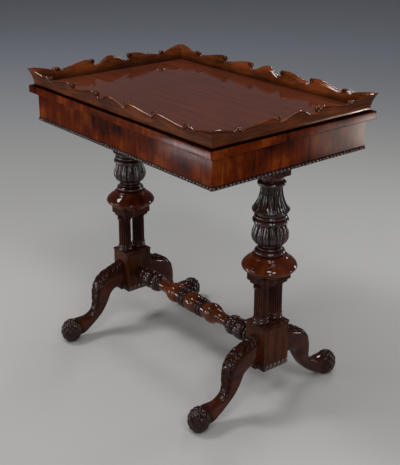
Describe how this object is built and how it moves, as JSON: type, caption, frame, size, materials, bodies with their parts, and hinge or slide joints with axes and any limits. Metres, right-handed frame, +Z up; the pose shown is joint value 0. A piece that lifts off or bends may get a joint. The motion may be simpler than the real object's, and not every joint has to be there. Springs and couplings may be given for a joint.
{
  "type": "work table",
  "caption": "Oblong rosewood work table: a lift-off tray with a scalloped gallery over a beaded frieze, on carved end pedestals with scroll legs and a turned stretcher.",
  "frame": {"origin": "on the floor under the middle of the table", "axes": "+X along the table towards the right pedestal, +Y across it towards the back, +Z up"},
  "size_m": [0.717, 0.488, 0.7464],
  "materials": {
    "figured_rosewood": "flame-figured veneer, polished",
    "tray_rosewood": "high polish",
    "turned_rosewood": "high polish",
    "carved_rosewood": "carved, polished",
    "secondary_wood": "unpolished",
    "screw_iron": "bare"
  },
  "bodies": {
    "table": {"abacus_left": "carved_rosewood", "abacus_right": "carved_rosewood", "bead_back": "carved_rosewood", "bead_front": "carved_rosewood", "bead_left": "carved_rosewood", "bead_right": "carved_rosewood", "bearer_left": "secondary_wood", "bearer_right": "secondary_wood", "bun_left": "turned_rosewood", "bun_right": "turned_rosewood", "cap_block_left": "carved_rosewood", "cap_block_right": "carved_rosewood", "cap_screw_back_left": "screw_iron", "cap_screw_back_right": "screw_iron", "cap_screw_front_left": "screw_iron", "cap_screw_front_right": "screw_iron", "colonette_back_left": "carved_rosewood", "colonette_back_right": "carved_rosewood", "colonette_front_left": "carved_rosewood", "colonette_front_right": "carved_rosewood", "column_shaft_left": "carved_rosewood", "column_shaft_right": "carved_rosewood", "corner_block_back_left": "secondary_wood", "corner_block_back_right": "secondary_wood", "corner_block_front_left": "secondary_wood", "corner_block_front_right": "secondary_wood", "frieze_back": "figured_rosewood", "frieze_front": "figured_rosewood", "frieze_left": "figured_rosewood", "frieze_right": "figured_rosewood", "leg_back_left": "carved_rosewood", "leg_back_right": "carved_rosewood", "leg_front_left": "carved_rosewood", "leg_front_right": "carved_rosewood", "plinth_block_left": "turned_rosewood", "plinth_block_right": "turned_rosewood", "plinth_cap_left": "carved_rosewood", "plinth_cap_right": "carved_rosewood", "plinth_moulding_left": "carved_rosewood", "plinth_moulding_right": "carved_rosewood", "stretcher": "turned_rosewood", "tie_dowel_left": "secondary_wood", "tie_dowel_right": "secondary_wood", "top_board": "figured_rosewood"},
    "tray": {"gallery_back": "tray_rosewood", "gallery_front": "tray_rosewood", "gallery_left": "tray_rosewood", "gallery_right": "tray_rosewood", "tray_floor": "tray_rosewood"}
  },
  "joints": [
    {"name": "tray_lift", "type": "slide", "parent": "table", "child": "tray", "axis": [0, 0, 1], "range_m": [0, 0.25]}
  ]
}
